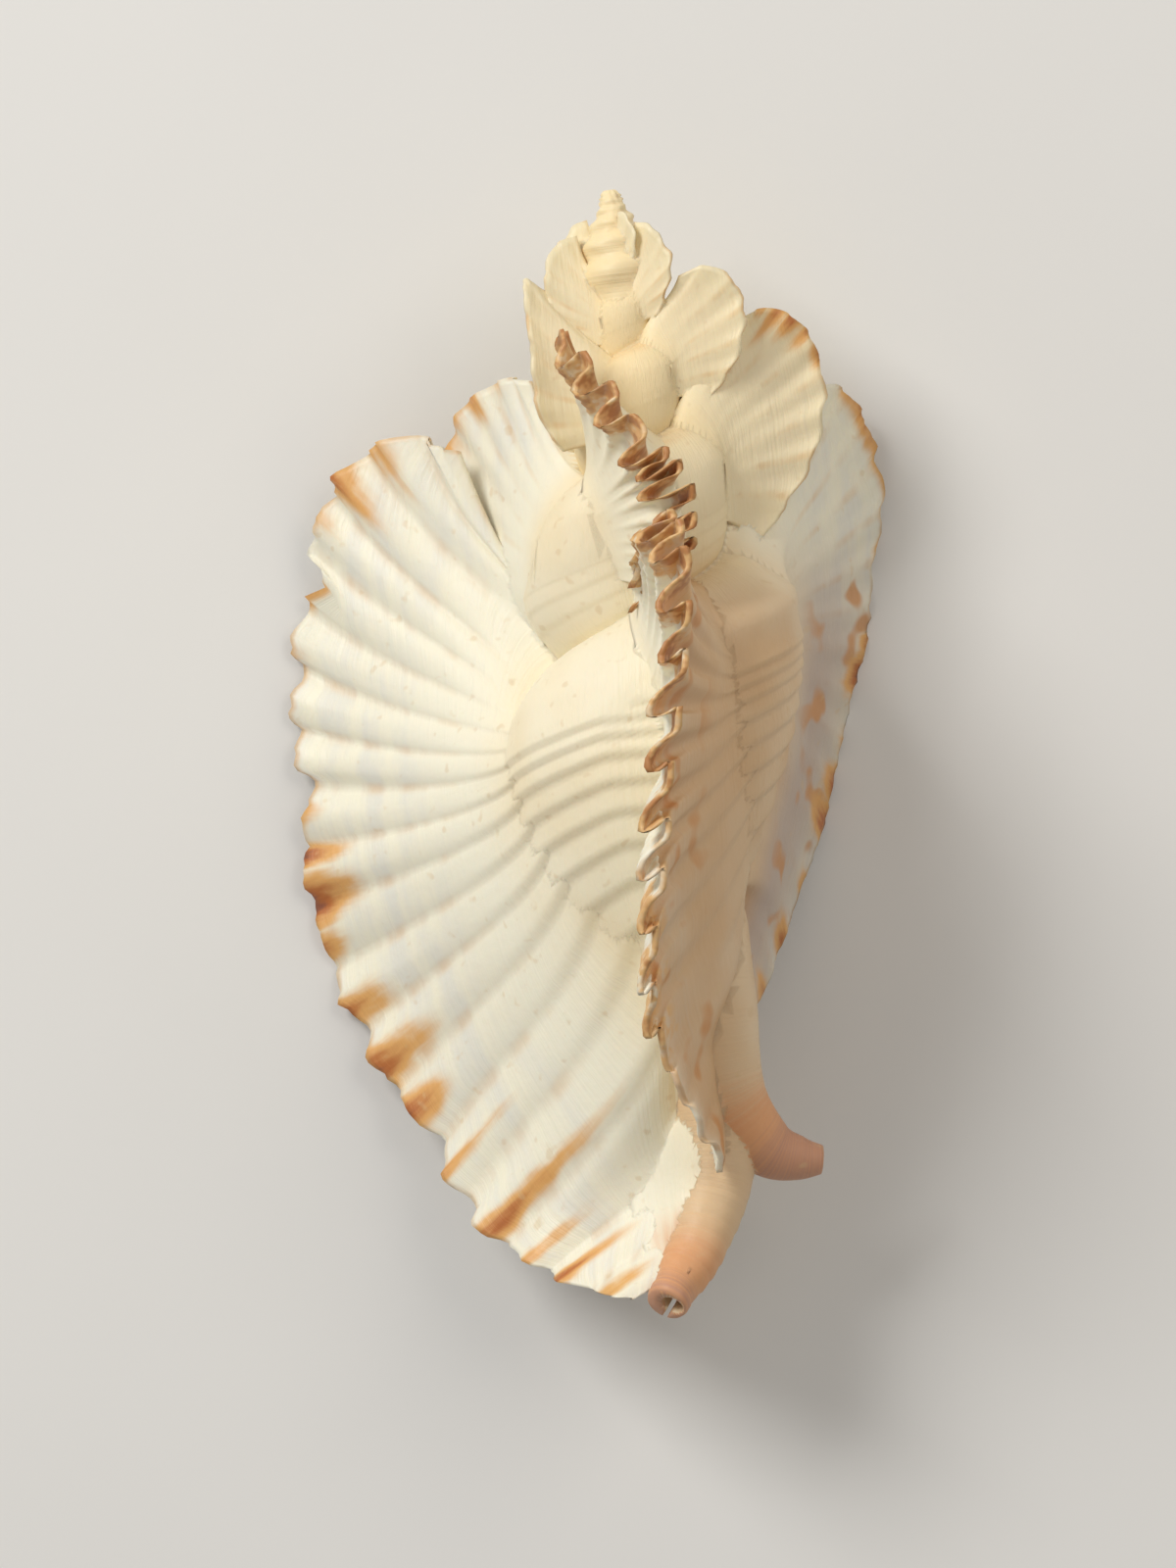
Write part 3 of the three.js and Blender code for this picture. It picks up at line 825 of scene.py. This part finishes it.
def combine(base, others, operation):
    """Joins the others to the base, or cuts them out of it, and deletes them."""
    for other in others:
        step = base.modifiers.new(other.name, "BOOLEAN")
        step.operation = operation
        step.solver = "MANIFOLD"
        step.object = other
    graph = bpy.context.evaluated_depsgraph_get()
    mesh = bpy.data.meshes.new_from_object(base.evaluated_get(graph))
    base.modifiers.clear()
    old = base.data
    base.data = mesh
    bpy.data.meshes.remove(old)
    for other in others:
        bpy.data.meshes.remove(other.data)


def mend_seams(bm):
    """Gives the vertices that the joins made the mean of what their neighbours know."""
    layers = [bm.verts.layers.float[field] for field in FIELDS]
    sure = bm.verts.layers.float["sure"]
    unsure = [v for v in bm.verts if v[sure] < 0.5]
    for _ in range(MENDING_ROUNDS):
        found = []
        for v in unsure:
            near = [e.other_vert(v) for e in v.link_edges]
            near = [n for n in near if n[sure] > 0.5]
            if near:
                found.append((v, [sum(n[layer] for n in near) / len(near) for layer in layers]))
        for v, amounts in found:
            for layer, amount in zip(layers, amounts):
                v[layer] = amount
        unsure = [v for v in unsure if v[sure] < 0.5]


def lay_down(shell):
    """Turns the shell to lie as found, wears its margins flat on the floor, scales to metres."""
    bm = bmesh.new()
    bm.from_mesh(shell.data)
    mend_seams(bm)
    bmesh.ops.transform(bm, matrix=POSE, verts=bm.verts)
    everything = bm.verts[:] + bm.edges[:] + bm.faces[:]
    cut = bmesh.ops.bisect_plane(
        bm, geom=everything, dist=FLOOR_TOLERANCE, plane_co=(0, 0, 0), plane_no=(0, 0, -1),
        clear_outer=True,
    )
    rim = [e for e in cut["geom_cut"] if isinstance(e, bmesh.types.BMEdge)]
    bmesh.ops.holes_fill(bm, edges=rim, sides=0)
    bmesh.ops.scale(bm, vec=(MM, MM, MM), verts=bm.verts)
    for face in bm.faces:
        face.smooth = True
    bm.to_mesh(shell.data)
    bm.free()


def build_shell():
    """Grows all parts of the shell into one, hollows it out and lays it down."""
    shell = as_object(whorl(LAST_SECTION, *LAST_WHORL), "murex_shell")
    grown = [
        as_object(whorl(OLD_SECTION, *FIRST_SPIRE_WHORL), "first_spire_whorl"),
        as_object(whorl(OLD_SECTION, *SECOND_SPIRE_WHORL), "second_spire_whorl"),
        as_object(whorl(OLD_SECTION, *THIRD_SPIRE_WHORL), "third_spire_whorl"),
        as_object(core(), "pillar"),
        as_object(tube(CANAL, 36, 110, growth_rings, rose_from=CANAL_ROSE), "canal"),
        as_object(web(), "web_of_canal"),
        as_object(tube(UPPER_SPUR, 24, 40, rose_from=SPUR_ROSE), "upper_spur"),
        as_object(tube(LOWER_SPUR, 20, 20, rose_from=SPUR_ROSE), "lower_spur"),
        as_object(opening(RIM_GROWN, *RIM_TURNS, 6, RIM_PALENESS), "rim_of_opening"),
    ]
    grown += [as_object(wing(spec), "wing_%d" % i) for i, spec in enumerate(WINGS)]
    combine(shell, grown, "UNION")
    hollows = [
        as_object(opening(0, -HOLLOW["turns"], HOLLOW["past"], 60, 1), "hollow"),
        as_object(tube(BORE, 20, 50), "bore"),
        as_object(slit(), "slit"),
    ]
    combine(shell, hollows, "DIFFERENCE")
    lay_down(shell)
    return shell


class Number:
    """An output of a material's nodes; arithmetic on it adds Math nodes."""

    def __init__(self, shader, socket):
        self.shader = shader
        self.socket = socket

    def math(self, operation, a, b):
        return self.shader.node("ShaderNodeMath", {"operation": operation}, {0: a, 1: b})

    def __add__(self, other):
        return self.math("ADD", self, other)

    def __radd__(self, other):
        return self.math("ADD", other, self)

    def __sub__(self, other):
        return self.math("SUBTRACT", self, other)

    def __rsub__(self, other):
        return self.math("SUBTRACT", other, self)

    def __mul__(self, other):
        return self.math("MULTIPLY", self, other)

    def __rmul__(self, other):
        return self.math("MULTIPLY", other, self)


class Shader:
    """A material and its nodes."""

    def __init__(self, name):
        self.material = bpy.data.materials.new(name)
        self.material.use_nodes = True
        self.tree = self.material.node_tree
        self.surface = self.tree.nodes["Principled BSDF"]

    def link(self, socket, value):
        if isinstance(value, Number):
            self.tree.links.new(value.socket, socket)
        else:
            socket.default_value = value

    def node(self, kind, settings=None, inputs=None, output=0):
        made = self.tree.nodes.new(kind)
        for name, value in (settings or {}).items():
            setattr(made, name, value)
        for name, value in (inputs or {}).items():
            self.link(made.inputs[name], value)
        return Number(self, made.outputs[output])

    def known(self, field):
        return self.node("ShaderNodeAttribute", {"attribute_name": field}, output="Fac")

    def place(self):
        return self.node("ShaderNodeTexCoord", output="Object")

    def noise(self, vector, scale, detail=2.0, roughness=0.5):
        inputs = {"Vector": vector, "Scale": scale, "Detail": detail, "Roughness": roughness}
        return self.node("ShaderNodeTexNoise", {}, inputs, "Fac")

    def ramp(self, value, low, high, to_low=0.0, to_high=1.0):
        inputs = {"Value": value, "From Min": low, "From Max": high}
        inputs.update({"To Min": to_low, "To Max": to_high})
        smoothly = {"interpolation_type": "SMOOTHSTEP"}
        return self.node("ShaderNodeMapRange", smoothly, inputs, "Result")

    def mix(self, under, over, amount):
        """A mix of two colours. The node's colour sockets are its inputs 6 and 7, output 2."""
        return self.node("ShaderNodeMix", {"data_type": "RGBA"}, {0: amount, 6: under, 7: over}, 2)

    def vector(self, x, y, z):
        return self.node("ShaderNodeCombineXYZ", {}, {"X": x, "Y": y, "Z": z})


def colour(shown):
    """The light of a colour that is given from 0 to 255 as a screen shows it."""
    return tuple((c / 255) ** 2.2 for c in shown) + (1.0,)


def shell_material():
    """Chalky cream, pearly on the wings, with painted tan shade, rose and brown as each point
    knows.
    """
    s = Shader("shell")
    reach, rib, stain, frill = (s.known(f) for f in ("reach", "rib", "stain", "frill"))
    rose, age, painted_shade = (s.known(f) for f in ("rose", "age", "painted_shade"))
    growth, inside = (s.known(f) for f in ("growth", "inside"))
    place = s.place()
    mottle = s.noise(place, MOTTLES, 3)
    cloud = s.noise(place, CLOUDS, 2)
    along_growth = s.vector(growth * 0.9, rib * 0.7, age * 3)
    lines = s.noise(s.vector(growth * 3.4, rib * 0.35, age * 5), 1.0, 3, 0.6)
    patch = s.noise(along_growth, 0.8, 2)
    from_groove = s.node("ShaderNodeMath", {"operation": "PINGPONG"}, {0: rib, 1: 0.5})
    groove = s.ramp(from_groove, 0.02, 0.2, 1, 0)

    body = s.mix(colour(CREAM), colour(WARM_CREAM), s.ramp(cloud, 0.35, 0.7))
    body = s.mix(body, colour(OLD_CREAM), s.ramp(age, 0.52, 0.85, 0, 0.85))
    on_wing = s.ramp(reach, 0.02, 0.3)
    cool = s.ramp(patch, 0.35, 0.7) * s.ramp(reach, 0.3, 0.6)
    pearl = s.mix(colour(PEARL), colour(COOL_PEARL), cool)
    pearl = s.mix(pearl, colour(OLD_PEARL), s.ramp(age, 0.5, 0.85, 0, 0.8))
    base = s.mix(body, pearl, on_wing * 0.9)
    warm = groove * s.ramp(patch, 0.35, 0.75) * s.ramp(reach, 0.1, 0.6) * 0.4
    base = s.mix(base, colour(GROOVE_ORANGE), warm)
    # Painted shade: tan, turning mauve further out on the older wings, mixed in as much as each
    # point knows.
    painted_mauve_shade = s.ramp(reach, 0.15, 0.5) * s.ramp(age, 0.2, 0.3)
    shade = s.mix(colour(SHADED_TAN), colour(SHADED_MAUVE), painted_mauve_shade)
    base = s.mix(base, shade, painted_shade * s.ramp(cloud, 0.2, 0.6, 0.6, 0.95))
    base = s.mix(base, colour(LINE_GREY), s.ramp(lines, 0.55, 0.8) * reach * 0.22)

    dots = s.ramp(s.noise(place, DOTS, 1, 0.4), 0.57, 0.68)
    dots = dots * s.ramp(reach, 0.3, 0.55) * s.ramp(painted_shade, 0.1, 0.4, 0, 0.85)
    base = s.mix(base, colour(DOT_ORANGE), dots)
    fibres = s.noise(s.vector(growth * 0.25, rib * 4.5, age * 5), 1.0, 3, 0.6)
    brown = stain * (fibres * 1.3 + 0.35) + s.ramp(stain, 0.0, 0.3) * (mottle - 0.5) * 0.5
    base = s.mix(base, colour(PALE_STAIN), s.ramp(brown, 0.05, 0.4))
    base = s.mix(base, colour(BROWN_STAIN), s.ramp(brown, 0.35, 0.75))
    base = s.mix(base, colour(DARK_STAIN), s.ramp(brown, 0.72, 1.0))
    edge = s.ramp(reach, 0.965, 1.0) * s.ramp(patch, 0.46, 0.6)
    base = s.mix(base, colour(MARGIN_TAN), edge * 0.6)

    spots = s.noise(place, SPOTS, 2, 0.6)
    crest = frill * (s.ramp(spots, 0.34, 0.62) * 0.75 + 0.35)
    base = s.mix(base, colour(PALE_FRILL), s.ramp(crest, 0.15, 0.55))
    base = s.mix(base, colour(BROWN_FRILL), s.ramp(crest, 0.55, 1.1, 0, 0.85))

    blush = rose + (lines - 0.5) * 0.6 * s.ramp(rose, 0.0, 0.4)
    base = s.mix(base, colour(CANAL_PINK), s.ramp(blush, 0.1, 0.7, 0, 0.9))
    base = s.mix(base, colour(CANAL_PURPLE), s.ramp(blush, 0.75, 1.1, 0, 0.7))
    base = s.mix(base, colour(INSIDE_WHITE), inside * 0.85)
    specks = s.noise(place, SPECKS, 1)
    base = s.mix(base, colour(SPECK_TAN), s.ramp(specks, 0.66, 0.78, 0, 0.35))
    s.link(s.surface.inputs["Base Color"], base)

    rough = 0.5 + (mottle - 0.5) * 0.25 - s.ramp(inside, 0, 1, 0, 0.22) - reach * 0.06
    s.link(s.surface.inputs["Roughness"], rough)
    height = lines * 0.7 + s.noise(place, GRAINS, 2) * 0.25 + mottle * 0.3
    inputs = {"Strength": 0.5, "Distance": BUMP_HEIGHT, "Height": height}
    bump = s.node("ShaderNodeBump", {}, inputs)
    s.link(s.surface.inputs["Normal"], bump)
    s.surface.inputs["Specular IOR Level"].default_value = 0.4
    s.surface.inputs["Subsurface Weight"].default_value = 0.12
    s.surface.inputs["Subsurface Radius"].default_value = (1.0, 0.7, 0.45)
    s.surface.inputs["Subsurface Scale"].default_value = 0.0012
    return s.material


def floor_material():
    s = Shader("floor")
    grain = s.noise(s.place(), 40, 2)
    pale = s.mix(colour(FLOOR_GREY), colour(FLOOR_WHITE), grain)
    s.link(s.surface.inputs["Base Color"], pale)
    s.surface.inputs["Roughness"].default_value = 0.9
    return s.material


def add_floor():
    bm = bmesh.new()
    bmesh.ops.create_grid(bm, x_segments=1, y_segments=1, size=FLOOR_REACH)
    mesh = bpy.data.meshes.new("floor")
    bm.to_mesh(mesh)
    bm.free()
    floor = bpy.data.objects.new("floor", mesh)
    bpy.context.scene.collection.objects.link(floor)
    mesh.materials.append(floor_material())


def add_camera():
    """Looks straight down the photograph's line of sight, from 60 cm off."""
    tilt = math.radians(PHOTO_TILT)
    across, down = PHOTO_CENTRE
    right = Vector((math.cos(tilt), -math.sin(tilt), 0))
    up = Vector((math.sin(tilt), math.cos(tilt), 0))
    turned = Matrix((right, up, (0, 0, 1))).transposed().to_4x4()
    data = bpy.data.cameras.new("camera")
    data.sensor_fit = "VERTICAL"
    data.sensor_height = FILM_HEIGHT
    data.lens = data.sensor_height * CAMERA_DISTANCE / PHOTO_HEIGHT
    data.clip_start = 0.01
    camera = bpy.data.objects.new("camera", data)
    bpy.context.scene.collection.objects.link(camera)
    camera.matrix_world = POSE @ Matrix.Translation((across, -down, CAMERA_DISTANCE)) @ turned
    camera.location *= MM
    bpy.context.scene.camera = camera


def add_light(name, at, size, power, tint):
    data = bpy.data.lights.new(name, "AREA")
    data.size = size
    data.energy = power
    data.color = tint
    light = bpy.data.objects.new(name, data)
    bpy.context.scene.collection.objects.link(light)
    aim = Vector(LIGHTS_AIM) - Vector(at)
    light.matrix_world = Matrix.Translation(at) @ aim.to_track_quat("-Z", "Y").to_matrix().to_4x4()


def add_lights():
    add_light("key", **KEY_LIGHT)
    add_light("fill", **FILL_LIGHT)
    world = bpy.data.worlds.new("studio")
    world.use_nodes = True
    background = world.node_tree.nodes["Background"]
    background.inputs["Color"].default_value = STUDIO_COLOUR
    background.inputs["Strength"].default_value = STUDIO_STRENGTH
    bpy.context.scene.world = world
    bpy.context.scene.view_settings.view_transform = "Standard"


shell = build_shell()
shell.data.materials.clear()
shell.data.materials.append(shell_material())
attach(shell, "root")
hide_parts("shell")
add_floor()
add_camera()
add_lights()
